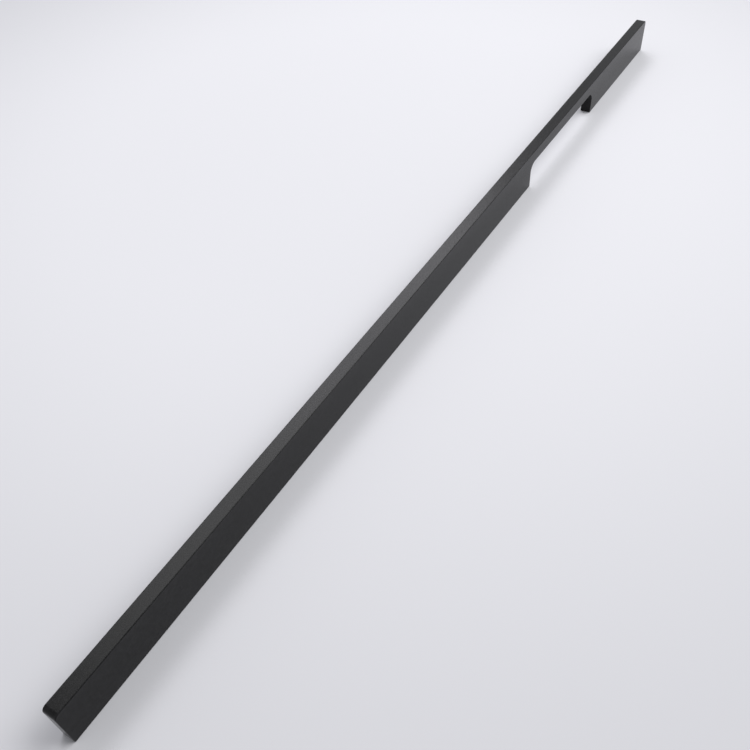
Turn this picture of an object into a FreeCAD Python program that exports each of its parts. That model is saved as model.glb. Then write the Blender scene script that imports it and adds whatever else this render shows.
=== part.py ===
import FreeCAD, Part
import os
import Sketcher
from math import pi
from FreeCAD import Vector

# Straight bar pull for a cabinet or wardrobe door: one solid flat bar of aluminium with a finger notch.
# The bar lies along X and stands on its door-side edge, which is the plane Z = 0. Y is its thin way.
# The origin is the middle of the door-side edge. The notch is open to the door, near the +X end, and
# fingers reach round the strip of bar left over it. Screws come up through the door into tapped holes.

# Driving sizes in millimetres: the cell's alias, its value, and what it sets.
SIZES = (
    ("bar_length", 700.0, "bar, end to end"),
    ("bar_width", 8.0, "thickness of the flat bar"),
    ("bar_height", 27.0, "how far the bar stands off the door"),
    ("end_corner_radius", 2.8, "outer corner at each end, seen from the side"),
    ("stub_length", 122.0, "full-height stretch from the notch to the +X end"),
    ("notch_length", 117.0, "finger notch, wall to wall"),
    ("strip_height", 9.2, "metal left over the notch"),
    ("notch_corner_radius", 6.5, "inner corners of the notch, the radius of the milling cutter"),
    ("edge_radius", 0.5, "rounding of every sharp edge, the notch's rim too"),
    ("screw_count", 3.0, "screw holes, evenly spaced"),
    ("screw_end_distance", 30.0, "end of the bar to the nearest screw hole"),
    ("screw_core_diameter", 3.3, "hole drilled for an M4 thread"),
    ("screw_hole_depth", 12.0, "full-size depth of each screw hole"),
    ("screw_mouth_diameter", 4.4, "countersunk mouth that leads the screw in"),
)
SHEET = "Sizes"
DRILL_TIP_ANGLE = 118.0
MOUTH_ANGLE = 90.0
SEAM_ANGLE = 0.01
OUTPUT_FOLDER = "parts"


def make_sheet(doc):
    """Put every driving size in the spreadsheet, one row each, with its alias and what it sets."""
    sheet = doc.addObject("Spreadsheet::Sheet", SHEET)
    for row, (alias, value, meaning) in enumerate(SIZES, start=1):
        sheet.set(f"A{row}", meaning)
        sheet.set(f"B{row}", str(value))
        sheet.setAlias(f"B{row}", alias)
    doc.recompute()
    return sheet


def origin_feature(body, role):
    """Return the body's own origin plane or axis with this role."""
    return next(feature for feature in body.Origin.OriginFeatures if feature.Role == role)


def new_sketch(body, name, plane_role):
    """Add an empty sketch on one of the body's origin planes."""
    sketch = body.newObject("Sketcher::SketchObject", name)
    sketch.AttachmentSupport = (origin_feature(body, plane_role), [""])
    sketch.MapMode = "FlatFace"
    return sketch


def size_constraint(sketch, kind, name, points, expression):
    """Add a constraint that takes its value from an expression on the sheet."""
    value = float(sketch.evalExpression(expression))
    index = sketch.addConstraint(Sketcher.Constraint(kind, *points, value))
    sketch.renameConstraint(index, name)
    sketch.setExpression(f"Constraints.{name}", expression)


def draw_arch(sketch, right, width, top, corner):
    """Draw a rectangle that stands on the sketch's X axis, with its two upper corners rounded.

    right, width, top and corner are expressions on the sheet: where the right side stands, how wide
    the arch is, how high it is, and the radius of its upper corners.
    """
    x_right, x_width, y_top, radius = (float(sketch.evalExpression(e)) for e in (right, width, top, corner))
    x_left = x_right - x_width
    y_spring = y_top - radius
    right_centre = Vector(x_right - radius, y_spring, 0)
    left_centre = Vector(x_left + radius, y_spring, 0)
    up = Vector(0, 0, 1)
    foot, right_side, right_arc, roof, left_arc, left_side = sketch.addGeometry(
        [
            Part.LineSegment(Vector(x_left, 0, 0), Vector(x_right, 0, 0)),
            Part.LineSegment(Vector(x_right, 0, 0), Vector(x_right, y_spring, 0)),
            Part.ArcOfCircle(Part.Circle(right_centre, up, radius), 0, pi / 2),
            Part.LineSegment(Vector(x_right - radius, y_top, 0), Vector(x_left + radius, y_top, 0)),
            Part.ArcOfCircle(Part.Circle(left_centre, up, radius), pi / 2, pi),
            Part.LineSegment(Vector(x_left, y_spring, 0), Vector(x_left, 0, 0)),
        ]
    )
    start, end = 1, 2
    origin = (-1, 1)
    sketch.addConstraint(
        [
            Sketcher.Constraint("Coincident", foot, end, right_side, start),
            Sketcher.Constraint("Tangent", right_side, end, right_arc, start),
            Sketcher.Constraint("Tangent", right_arc, end, roof, start),
            Sketcher.Constraint("Tangent", roof, end, left_arc, start),
            Sketcher.Constraint("Tangent", left_arc, end, left_side, start),
            Sketcher.Constraint("Coincident", left_side, end, foot, start),
            Sketcher.Constraint("Horizontal", foot),
            Sketcher.Constraint("Vertical", right_side),
            Sketcher.Constraint("Horizontal", roof),
            Sketcher.Constraint("Vertical", left_side),
            Sketcher.Constraint("Equal", right_arc, left_arc),
            Sketcher.Constraint("PointOnObject", foot, end, -1),
        ]
    )
    size_constraint(sketch, "DistanceX", "right_side_at", (*origin, foot, end), right)
    size_constraint(sketch, "DistanceX", "arch_width", (foot, start, foot, end), width)
    size_constraint(sketch, "DistanceY", "arch_height", (foot, end, roof, start), top)
    size_constraint(sketch, "Radius", "corner_radius", (right_arc,), corner)


def add_bar(body):
    """Pad the bar's side outline to its width: a flat bar with rounded outer corners at both ends."""
    outline = new_sketch(body, "SideOutline", "XZ_Plane")
    draw_arch(
        outline,
        right=f"{SHEET}.bar_length / 2",
        width=f"{SHEET}.bar_length",
        top=f"{SHEET}.bar_height",
        corner=f"{SHEET}.end_corner_radius",
    )
    bar = body.newObject("PartDesign::Pad", "FlatBar")
    bar.Profile = outline
    bar.SideType = "Symmetric"
    bar.setExpression("Length", f"{SHEET}.bar_width")
    return bar


def mill_notch(body):
    """Cut the finger notch up from the door side, right through the bar's width."""
    outline = new_sketch(body, "NotchOutline", "XZ_Plane")
    draw_arch(
        outline,
        right=f"{SHEET}.bar_length / 2 - {SHEET}.stub_length",
        width=f"{SHEET}.notch_length",
        top=f"{SHEET}.bar_height - {SHEET}.strip_height",
        corner=f"{SHEET}.notch_corner_radius",
    )
    notch = body.newObject("PartDesign::Pocket", "FingerNotch")
    notch.Profile = outline
    notch.Type = "ThroughAll"
    notch.SideType = "Symmetric"
    return notch


def is_sharp(shape, edge):
    """Tell an edge where two faces meet at an angle from a seam where an arc runs on into a flat."""
    middle = edge.valueAt((edge.FirstParameter + edge.LastParameter) / 2)
    first, second = (
        face.normalAt(*face.Surface.parameter(middle))
        for face in shape.Faces
        if any(edge.isSame(other) for other in face.Edges)
    )
    return first.getAngle(second) > SEAM_ANGLE


def round_edges(body, milled):
    """Round every sharp edge of the milled bar a little, the notch's rim too, so that none cuts a finger."""
    rounding = body.newObject("PartDesign::Fillet", "EdgeRounding")
    shape = milled.Shape
    names = [f"Edge{number}" for number, edge in enumerate(shape.Edges, start=1) if is_sharp(shape, edge)]
    rounding.Base = (milled, names)
    rounding.setExpression("Radius", f"{SHEET}.edge_radius")
    return rounding


def drill_screw_holes(body):
    """Drill the tapped blind holes up into the door-side edge, evenly spaced between the two ends."""
    place = new_sketch(body, "ScrewPlace", "XY_Plane")
    first_x = f"{SHEET}.bar_length / 2 - {SHEET}.screw_end_distance"
    core_radius = float(place.evalExpression(f"{SHEET}.screw_core_diameter / 2"))
    centre = Vector(-float(place.evalExpression(first_x)), 0, 0)
    circle = place.addGeometry(Part.Circle(centre, Vector(0, 0, 1), core_radius))
    place.addConstraint(Sketcher.Constraint("PointOnObject", circle, 3, -1))
    size_constraint(place, "DistanceX", "hole_at", (circle, 3, -1, 1), first_x)
    size_constraint(place, "Radius", "core_radius", (circle,), f"{SHEET}.screw_core_diameter / 2")
    body.Document.recompute()

    hole = body.newObject("PartDesign::Hole", "ScrewHole")
    hole.Profile = place
    body.Document.recompute()
    hole.ThreadType = "None"
    hole.DepthType = "Dimension"
    hole.HoleCutType = "Countersink"
    hole.HoleCutCustomValues = True
    hole.HoleCutCountersinkAngle = MOUTH_ANGLE
    hole.DrillPoint = "Angled"
    hole.DrillPointAngle = DRILL_TIP_ANGLE
    hole.Reversed = True
    hole.setExpression("Diameter", f"{SHEET}.screw_core_diameter")
    hole.setExpression("Depth", f"{SHEET}.screw_hole_depth")
    hole.setExpression("HoleCutDiameter", f"{SHEET}.screw_mouth_diameter")
    body.Document.recompute()

    row = body.newObject("PartDesign::LinearPattern", "ScrewHoles")
    row.Originals = [hole]
    row.Direction = (origin_feature(body, "X_Axis"), [""])
    row.Mode = "Extent"
    row.setExpression("Length", f"{SHEET}.bar_length - 2 * {SHEET}.screw_end_distance")
    row.setExpression("Occurrences", f"{SHEET}.screw_count")
    body.Tip = row
    return row


def make_pull_bar(doc):
    """Make the pull in the order that it is machined, and check that each cut takes metal away."""
    body = doc.addObject("PartDesign::Body", "PullBar")
    body.Label = "pull_bar"
    bar = add_bar(body)
    doc.recompute()
    steps = [("bar", bar.Shape.Volume)]
    notch = mill_notch(body)
    doc.recompute()
    steps.append(("finger notch", notch.Shape.Volume))
    rounding = round_edges(body, notch)
    doc.recompute()
    steps.append(("edge rounding", rounding.Shape.Volume))
    holes = drill_screw_holes(body)
    doc.recompute()
    steps.append(("screw holes", holes.Shape.Volume))
    for (_, before), (name, after) in zip(steps, steps[1:]):
        if after >= before:
            raise RuntimeError(f"the {name} took nothing away")
        print(f"{name}: {before - after:.1f} mm3 taken away")
    body.Placement = FreeCAD.Placement()
    return body


def check_document(doc, sub_parts):
    """Stop if any object failed to build, or a sub-part's shape is missing or not one valid solid."""
    for item in doc.Objects:
        if "Invalid" in item.State or "Error" in item.State:
            raise RuntimeError(f"{item.Name} did not build: {item.State}")
    for body in sub_parts:
        if body.Shape.isNull() or not body.Shape.isValid() or len(body.Shape.Solids) != 1:
            raise RuntimeError(f"{body.Label} is not one valid solid")


def export_parts(sub_parts):
    """Write each sub-part to a STEP file named after its label."""
    os.makedirs(OUTPUT_FOLDER, exist_ok=True)
    for body in sub_parts:
        body.Shape.exportStep(f"{OUTPUT_FOLDER}/{body.Label}.step")
        box = body.Shape.optimalBoundingBox()
        print(f"{body.Label}: {box.XLength:.2f} x {box.YLength:.2f} x {box.ZLength:.2f} mm")


document = FreeCAD.newDocument("BarPull")
make_sheet(document)
parts = [make_pull_bar(document)]
document.recompute()
check_document(document, parts)
export_parts(parts)
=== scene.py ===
import bpy
import numpy as np
from math import pi, radians
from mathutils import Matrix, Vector


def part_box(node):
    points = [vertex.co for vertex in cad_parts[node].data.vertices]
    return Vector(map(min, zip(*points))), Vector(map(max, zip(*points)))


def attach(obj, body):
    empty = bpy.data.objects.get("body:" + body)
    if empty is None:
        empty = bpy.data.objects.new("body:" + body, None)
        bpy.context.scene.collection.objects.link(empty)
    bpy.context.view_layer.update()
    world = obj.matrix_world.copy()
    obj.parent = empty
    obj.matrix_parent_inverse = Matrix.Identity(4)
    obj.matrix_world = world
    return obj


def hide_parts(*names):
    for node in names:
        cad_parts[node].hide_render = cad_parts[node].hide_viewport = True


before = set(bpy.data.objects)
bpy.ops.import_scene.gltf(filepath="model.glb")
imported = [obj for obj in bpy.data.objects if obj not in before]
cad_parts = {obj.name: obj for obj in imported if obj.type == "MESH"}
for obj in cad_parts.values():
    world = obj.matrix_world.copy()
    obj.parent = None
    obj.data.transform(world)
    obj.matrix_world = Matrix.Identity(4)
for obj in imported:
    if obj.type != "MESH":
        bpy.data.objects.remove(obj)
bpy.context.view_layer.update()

# The bar: one length of flat aluminium bar that stands on its edge on the door. Its outer end corners
# and the finger notch are milled, three blind holes are drilled and tapped in its door-side edge, and
# every sharp edge is rounded a little. Then the bare metal is blasted fine and anodised black.
MM = 0.001
bar_low, bar_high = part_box("pull_bar")
half_length = (bar_high.x - bar_low.x) / 2
half_width = (bar_high.y - bar_low.y) / 2
bar_height = bar_high.z - bar_low.z
edge_radius = 0.5 * MM
end_corner_radius = 2.8 * MM
notch_near_wall = 111 * MM
notch_far_wall = 228 * MM
notch_ceiling = bar_height - 9.2 * MM
notch_corner_radius = 6.5 * MM
hole_places = np.array([-320, 0, 320]) * MM
core_radius = 1.65 * MM
mouth_radius = 2.2 * MM
hole_depth = 12 * MM
drill_tip_half_angle = radians(59)
thread_pitch = 0.7 * MM
thread_depth = 0.35 * MM
thread_half_angle = radians(30)
thread_end = 11.5 * MM
thread_runout = 2 * MM
corner_steps = 10
edge_steps = 6
patch_steps = 8
steps_per_pitch = 8
run_step = 12 * MM
patch_half = half_width - edge_radius
patch_margin = 1 * MM
hair = 0.001 * MM


def side_outline(stops):
    """Walk once round the bar's side view and return its points (x, z) and outward normals.

    Every corner is a quarter circle. With u the way in, v the way out, r the radius and a from 0 to a
    right angle, its points are corner + r (v - u) + r (u sin a - v cos a). Between two corners the run
    is cut into even steps, and on the door side it is cut finely between each pair of stops, which are
    the two ends of a screw hole's patch.
    """
    corner = np.array(
        [
            (-half_length, 0, edge_radius, 1),
            (notch_near_wall, 0, edge_radius, 1),
            (notch_near_wall, notch_ceiling, notch_corner_radius, -1),
            (notch_far_wall, notch_ceiling, notch_corner_radius, -1),
            (notch_far_wall, 0, edge_radius, 1),
            (half_length, 0, edge_radius, 1),
            (half_length, bar_height, end_corner_radius, 1),
            (-half_length, bar_height, end_corner_radius, 1),
        ]
    )
    place, radius, bulge = corner[:, :2], corner[:, 2], corner[:, 3]
    way_out = np.roll(place, -1, axis=0) - place
    way_out /= np.linalg.norm(way_out, axis=1, keepdims=True)
    way_in = np.roll(way_out, 1, axis=0)
    angle = np.linspace(0, pi / 2, corner_steps + 1)[:, None]
    points, normals = [], []
    for i in range(len(corner)):
        ray = way_in[i] * np.sin(angle) - way_out[i] * np.cos(angle)
        points.append(place[i] + radius[i] * (way_out[i] - way_in[i] + ray))
        normals.append(bulge[i] * ray)
        after = (i + 1) % len(corner)
        start = place[i] + radius[i] * way_out[i]
        end = place[after] - radius[after] * way_out[i]
        length = np.linalg.norm(end - start)
        along = np.linspace(0, length, int(np.ceil(length / run_step)) + 1)[1:-1]
        if start[1] == 0 and end[1] == 0:
            on_run = (stops[:, 0] > start[0]) & (stops[:, 1] < end[0])
            for low, high in stops[on_run] - start[0]:
                along = along[(along < low - patch_margin) | (along > high + patch_margin)]
                along = np.sort(np.append(along, np.linspace(low, high, patch_steps + 1)))
        points.append(start + along[:, None] * way_out[i])
        normals.append(np.tile([way_out[i][1], -way_out[i][0]], (len(along), 1)))
    return np.vstack(points), np.vstack(normals)


def profile_across():
    """Cross the bar from its front flat to its back flat: a quarter circle, a flat, a quarter circle.

    Each point has its place y, how far it lies under the outline, and the y and outward parts of its
    normal. On the quarter circles, with a from 0 to a right angle, y is the flat plus r (1 - cos a), the
    depth under the outline is r (1 - sin a), and the normal is (cos a, sin a).
    """
    angle = np.linspace(0, pi / 2, edge_steps + 1)
    flat = np.linspace(-patch_half, patch_half, patch_steps + 1)[1:-1]
    front = edge_radius * (1 - np.cos(angle)) - half_width
    y = np.concatenate([front, flat, -front[::-1]])
    level = np.zeros(len(flat))
    depth = edge_radius * (1 - np.sin(angle))
    under = np.concatenate([depth, level, depth[::-1]])
    sideways = np.concatenate([-np.cos(angle), level, np.cos(angle)[::-1]])
    outwards = np.concatenate([np.sin(angle), level + 1, np.sin(angle)[::-1]])
    return y, under, sideways, outwards


def tapped_hole(centre, turn):
    """Give the rings of a tapped hole's wall, from its mouth up, and the point of the drill's cone.

    At depth d and turn t round the axis the wall stands at the core radius plus the thread's groove. The
    groove is a V once per pitch along d - pitch t / full turn, and it runs out before the bottom. The
    countersunk mouth is a cone at a right angle: mouth radius - d, where that is wider.
    """
    depth = np.append(np.arange(0, hole_depth, thread_pitch / steps_per_pitch), hole_depth)[:, None]
    along = np.mod(depth / thread_pitch - turn / (2 * pi), 1) - 0.5
    groove = thread_depth - np.abs(along) * thread_pitch / np.tan(thread_half_angle)
    groove = np.clip(groove, 0, None) * np.clip((thread_end - depth) / thread_runout, 0, 1)
    reach = np.maximum(core_radius + groove, mouth_radius - depth)
    wall = np.stack([centre + reach * np.cos(turn), reach * np.sin(turn), depth + 0 * turn], axis=-1)
    tip = (centre, 0, hole_depth + core_radius / np.tan(drill_tip_half_angle))
    return wall, np.array([tip])


def flat_normals(points, corners):
    """Give each corner of each face the face's own normal.

    It is the cross product of a four-cornered face's diagonals, or of two sides of a three-cornered one.
    """
    place = points[corners]
    normal = np.cross(place[:, 2] - place[:, 0], place[:, -1] - place[:, 1])
    if corners.shape[1] == 3:
        normal = np.cross(place[:, 1] - place[:, 0], place[:, 2] - place[:, 0])
    normal /= np.linalg.norm(normal, axis=1, keepdims=True)
    return np.repeat(normal[:, None], corners.shape[1], axis=1)


# The skin: the profile across the bar carried round the outline. Each point lies under the outline by the
# profile's depth, straight in along the outline's normal, and its own normal joins those of both curves.
stops = hole_places[:, None] + np.array([-patch_half, patch_half])
outline, outline_normal = side_outline(stops)
y, under, sideways, outwards = profile_across()
skin = np.empty((len(outline), len(y), 3))
skin[..., 0::2] = outline[:, None] - outline_normal[:, None] * under[:, None]
skin[..., 1] = y
skin_normal = np.empty_like(skin)
skin_normal[..., 0::2] = outline_normal[:, None] * outwards[:, None]
skin_normal[..., 1] = sideways

# Where an outer corner is as round as the edges, it is a ball, and the skin's first and last points
# there are one point. Such points share one number, so that the mesh is closed.
number = np.arange(skin[..., 0].size).reshape(skin.shape[:2])
for column in (0, -1):
    same = np.linalg.norm(skin[:, column] - np.roll(skin[:, column], 1, axis=0), axis=1) < hair
    first = np.maximum.accumulate(np.where(same, 0, np.arange(len(same))))
    number[:, column] = number[first, column]
following = np.roll(number, -1, axis=0)
cells = np.stack([number[:, :-1], number[:, 1:], following[:, 1:], following[:, :-1]], axis=-1)

# Each hole takes a square patch out of the skin of the door-side edge. Its own rings start from the patch's
# rim and go up the wall, and three-cornered faces close the cone that the drill leaves.
left, right = edge_steps, edge_steps + patch_steps
skin_points = skin.reshape(-1, 3)
points = [skin_points]
hole_quads, hole_triangles = [], []
count = number.size
for centre in hole_places:
    on_patch = (outline[:, 1] == 0) & (np.abs(outline[:, 0] - centre) < patch_half + hair)
    rows = np.flatnonzero(on_patch)
    rim = np.concatenate(
        [
            number[rows[:-1], left],
            number[rows[-1], left:right],
            number[rows[:0:-1], right],
            number[rows[0], right:left:-1],
        ]
    )
    cells[rows[:-1], left:right] = -1
    turn = np.arctan2(skin_points[rim, 1], skin_points[rim, 0] - centre)
    wall, tip = tapped_hole(centre, turn)
    ring = count + np.arange(wall[..., 0].size).reshape(wall.shape[:2])
    rings = np.vstack([rim, ring])
    beside = np.roll(rings, -1, axis=1)
    hole_quads.append(np.stack([rings[:-1], rings[1:], beside[1:], beside[:-1]], axis=-1).reshape(-1, 4))
    tip_number = np.full(ring.shape[1], count + ring.size)
    hole_triangles.append(np.stack([ring[-1], tip_number, beside[-1]], axis=-1))
    points += [wall.reshape(-1, 3), tip]
    count += ring.size + 1

# All the faces in one row of corners: the skin, the holes, and the two broad sides as one flat face each.
# The corners carry their exact normals, so that the roundings shade evenly and the flats stay flat.
points = np.vstack(points)
cells = cells[cells[..., 0] >= 0]
closed_front = cells[:, 0] == cells[:, 3]
closed_back = cells[:, 1] == cells[:, 2]
smooth = [cells[~closed_front & ~closed_back], cells[closed_front][:, :3], cells[closed_back][:, [0, 1, 3]]]
flat = [np.vstack(hole_quads), np.vstack(hole_triangles)]
front_side = number[number[:, 0] != following[:, 0], 0][None]
back_side = number[number[:, -1] != following[:, -1], -1][None, ::-1]
groups = smooth + flat + [front_side, back_side]
corner_normals = [skin_normal.reshape(-1, 3)[group].reshape(-1, 3) for group in smooth]
corner_normals += [flat_normals(points, group).reshape(-1, 3) for group in flat]
corner_normals += [np.tile([0, -1, 0], (front_side.size, 1)), np.tile([0, 1, 0], (back_side.size, 1))]
face_sizes = np.concatenate([np.full(len(group), group.shape[1]) for group in groups])
used, corners = np.unique(np.concatenate([group.ravel() for group in groups]), return_inverse=True)
bar_mesh = bpy.data.meshes.new("bar")
bar_mesh.vertices.add(len(used))
bar_mesh.vertices.foreach_set("co", points[used].ravel())
bar_mesh.loops.add(len(corners))
bar_mesh.loops.foreach_set("vertex_index", corners)
bar_mesh.polygons.add(len(face_sizes))
bar_mesh.polygons.foreach_set("loop_start", np.cumsum(face_sizes) - face_sizes)
bar_mesh.polygons.foreach_set("use_smooth", np.ones(len(face_sizes), bool))
bar_mesh.update(calc_edges=True)
bar_mesh.normals_split_custom_set(np.vstack(corner_normals))
bar = bpy.data.objects.new("bar", bar_mesh)
bpy.context.collection.objects.link(bar)
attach(bar, "root")
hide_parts("pull_bar")

# The finish: pressing the bar through its die leaves faint lines along it, and blasting lays a fine, even
# grain over them. The black anodic film on both is satin, with a slightly uneven depth of black.
grain_size = 0.28 * MM
grain_depth = 0.014 * MM
cloud_size = 1.6 * MM
line_width = 0.6 * MM
line_length = 250 * MM
line_depth = 0.006 * MM
deep_black = (0.0006, 0.0006, 0.0007, 1)
thin_black = (0.0084, 0.0084, 0.0090, 1)
deep_black_at = 0.3
thin_black_at = 0.7
satin_roughness = 0.21
satin_swing = 0.1
finish = bpy.data.materials.new("satin_black_anodising")
finish.use_nodes = True
film = finish.node_tree
shader = film.nodes["Principled BSDF"]
shader.inputs["IOR"].default_value = 1.28


def film_noise(size, detail):
    """Give a noise on Object coordinates, 0 to 1, whose grains have this size along X, Y and Z."""
    place = film.nodes.new("ShaderNodeTexCoord")
    stretch = film.nodes.new("ShaderNodeMapping")
    noise = film.nodes.new("ShaderNodeTexNoise")
    stretch.inputs["Scale"].default_value = [1 / length for length in size]
    noise.inputs["Scale"].default_value = 1
    noise.inputs["Detail"].default_value = detail
    film.links.new(place.outputs["Object"], stretch.inputs["Vector"])
    film.links.new(stretch.outputs["Vector"], noise.inputs["Vector"])
    return noise.outputs["Fac"]


def film_sum(middle, swings):
    """Give middle + the sum of swing x (noise - 0.5) over these pairs of a noise and its swing."""
    total = None
    for noise, swing in swings:
        step = film.nodes.new("ShaderNodeMath")
        step.operation = "MULTIPLY_ADD"
        film.links.new(noise, step.inputs[0])
        step.inputs[1].default_value = swing
        step.inputs[2].default_value = middle - sum(swing for _, swing in swings) / 2
        if total is not None:
            film.links.new(total, step.inputs[2])
        total = step.outputs["Value"]
    return total


grain = film_noise([grain_size] * 3, detail=2)
clouds = film_noise([cloud_size] * 3, detail=3)
lines = film_noise([line_length, line_width, line_width], detail=2)
blackness = film.nodes.new("ShaderNodeValToRGB")
blackness.color_ramp.elements[0].position = deep_black_at
blackness.color_ramp.elements[0].color = deep_black
blackness.color_ramp.elements[1].position = thin_black_at
blackness.color_ramp.elements[1].color = thin_black
unevenness = film_sum(0.5, [(grain, 1.0), (clouds, 1.2), (lines, 0.6)])
film.links.new(unevenness, blackness.inputs["Fac"])
film.links.new(blackness.outputs["Color"], shader.inputs["Base Color"])
satin = film_sum(satin_roughness, [(noise, satin_swing) for noise in (clouds, grain, lines)])
film.links.new(satin, shader.inputs["Roughness"])
relief = film.nodes.new("ShaderNodeBump")
relief.inputs["Distance"].default_value = 1
film.links.new(film_sum(0, [(grain, grain_depth), (lines, line_depth)]), relief.inputs["Height"])
film.links.new(relief.outputs["Normal"], shader.inputs["Normal"])
bar_mesh.materials.append(finish)

# The floor: a plain pale table top, lowered a hair so that it doesn't share a plane with the bar's foot.
# Its colour is palest round the bar and dims a little outwards: painted shade, a falloff of light painted
# into the table's colour. Far out, where nothing lights it, the camera and reflections see it fade into the
# pale room.
pale_room_colour = (0.96, 0.97, 1, 1)
pale_room_seen = 0.75
pale_room_light = 0.4
floor_half = 12
floor_drop = 0.1 * MM
table_middle = (0.1, 0.14, 0)
table_colour = (0.8, 0.8, 0.83, 1)
painted_shade_table_colour = (0.62, 0.62, 0.645, 1)
painted_shade_start = 0.2
painted_shade_end = 0.65
fade_start = 0.5
fade_end = 1.1
floor_mesh = bpy.data.meshes.new("floor")
floor_corners = np.array([(-1, -1, 0), (1, -1, 0), (1, 1, 0), (-1, 1, 0)]) * floor_half
floor_corners = floor_corners - np.array([0, 0, floor_drop])
floor_mesh.from_pydata(floor_corners.tolist(), [], [(0, 1, 2, 3)])
floor = bpy.data.objects.new("floor", floor_mesh)
bpy.context.collection.objects.link(floor)


def seen_ray(tree):
    """Give 1 for a ray from the camera, a mirror or through glass, and 0 for a ray that only lights."""
    ray = tree.nodes.new("ShaderNodeLightPath")
    total = ray.outputs["Is Camera Ray"]
    for kind in ("Is Glossy Ray", "Is Transmission Ray"):
        either = tree.nodes.new("ShaderNodeMath")
        either.operation = "MAXIMUM"
        tree.links.new(total, either.inputs[0])
        tree.links.new(ray.outputs[kind], either.inputs[1])
        total = either.outputs["Value"]
    return total


table_top = bpy.data.materials.new("pale_table_top")
table_top.use_nodes = True
table = table_top.node_tree
table_shader = table.nodes["Principled BSDF"]
table_shader.inputs["Roughness"].default_value = 0.9
table_shader.inputs["Specular IOR Level"].default_value = 0
table_place = table.nodes.new("ShaderNodeTexCoord")
way_from_middle = table.nodes.new("ShaderNodeVectorMath")
way_from_middle.operation = "DISTANCE"
way_from_middle.inputs[1].default_value = table_middle
table.links.new(table_place.outputs["Object"], way_from_middle.inputs[0])


def beyond(start, end):
    """Give 0 nearer to the table's middle than start, 1 farther off than end, a smooth step between."""
    share = table.nodes.new("ShaderNodeMapRange")
    share.interpolation_type = "SMOOTHSTEP"
    share.inputs["From Min"].default_value = start
    share.inputs["From Max"].default_value = end
    table.links.new(way_from_middle.outputs["Value"], share.inputs["Value"])
    return share.outputs["Result"]


# Painted shade: the table's colour darkens from the bar outwards, in place of light that falls off.
painted_falloff_ramp = table.nodes.new("ShaderNodeValToRGB")
painted_falloff_ramp.color_ramp.elements[0].color = table_colour
painted_falloff_ramp.color_ramp.elements[1].color = painted_shade_table_colour
table.links.new(beyond(painted_shade_start, painted_shade_end), painted_falloff_ramp.inputs["Fac"])
table.links.new(painted_falloff_ramp.outputs["Color"], table_shader.inputs["Base Color"])
fade_seen = table.nodes.new("ShaderNodeMath")
fade_seen.operation = "MULTIPLY"
far_away = table.nodes.new("ShaderNodeEmission")
far_away.inputs["Color"].default_value = pale_room_colour
far_away.inputs["Strength"].default_value = pale_room_seen
near_or_far = table.nodes.new("ShaderNodeMixShader")
table.links.new(beyond(fade_start, fade_end), fade_seen.inputs[0])
table.links.new(seen_ray(table), fade_seen.inputs[1])
table.links.new(fade_seen.outputs["Value"], near_or_far.inputs["Fac"])
table.links.new(table_shader.outputs["BSDF"], near_or_far.inputs[1])
table.links.new(far_away.outputs["Emission"], near_or_far.inputs[2])
table.links.new(near_or_far.outputs["Shader"], table.nodes["Material Output"].inputs["Surface"])
floor_mesh.materials.append(table_top)

# The light: a pale room all round, four softboxes high beyond the bar's far end, which its top edge
# mirrors, and a larger one off its front side, which lights that side and keeps the shadow there soft.
room = bpy.data.worlds.new("pale_room")
bpy.context.scene.world = room
room.use_nodes = True
air = room.node_tree
room_strength = air.nodes.new("ShaderNodeMath")
room_strength.operation = "MULTIPLY_ADD"
room_strength.inputs[1].default_value = pale_room_seen - pale_room_light
room_strength.inputs[2].default_value = pale_room_light
air.links.new(seen_ray(air), room_strength.inputs[0])
air.links.new(room_strength.outputs["Value"], air.nodes["Background"].inputs["Strength"])
air.nodes["Background"].inputs["Color"].default_value = pale_room_colour


def softbox(name, place, width, height, brightness, colour=(1, 1, 1)):
    """Hang a rectangular softbox that faces the middle of the bar; its power is brightness x area x pi."""
    data = bpy.data.lights.new(name, "AREA")
    data.shape = "RECTANGLE"
    data.size = width
    data.size_y = height
    data.energy = brightness * width * height * pi
    data.color = colour
    lamp = bpy.data.objects.new(name, data)
    bpy.context.collection.objects.link(lamp)
    lamp.location = place
    lamp.rotation_euler = (-Vector(place)).to_track_quat("-Z", "Y").to_euler()
    lamp.visible_camera = False


cool_white = (0.965, 0.955, 1)
softbox("far_softbox", (2.313, 1.685, 2.757), 1.39, 1.23, 4.1, cool_white)
softbox("low_far_softbox", (2.598, 1.548, 2.289), 1.26, 0.7, 1.35, cool_white)
softbox("left_softbox", (1.365, 2.028, 3.184), 1.54, 1.23, 1.4, cool_white)
softbox("high_left_softbox", (0.886, 1.965, 3.416), 1.79, 1.23, 2.2)
softbox("front_softbox", (2.345, -1.832, 3.371), 3.3, 2.7, 4.9)

# The camera: a view down the length of the bar from above its plain end. Its place, angles and lens were
# worked out from where the bar's own edges run in the photo.
camera_place = (-0.37099, -0.19378, 0.35216)
camera_angles = (42.64973, 3.50418, -58.09752)
camera_data = bpy.data.cameras.new("camera")
camera_data.lens = 38.696
camera_data.sensor_width = 36
camera_data.clip_start = 0.01
camera = bpy.data.objects.new("camera", camera_data)
bpy.context.collection.objects.link(camera)
camera.location = camera_place
camera.rotation_euler = [radians(angle) for angle in camera_angles]
bpy.context.scene.camera = camera
bpy.context.scene.view_settings.view_transform = "Standard"
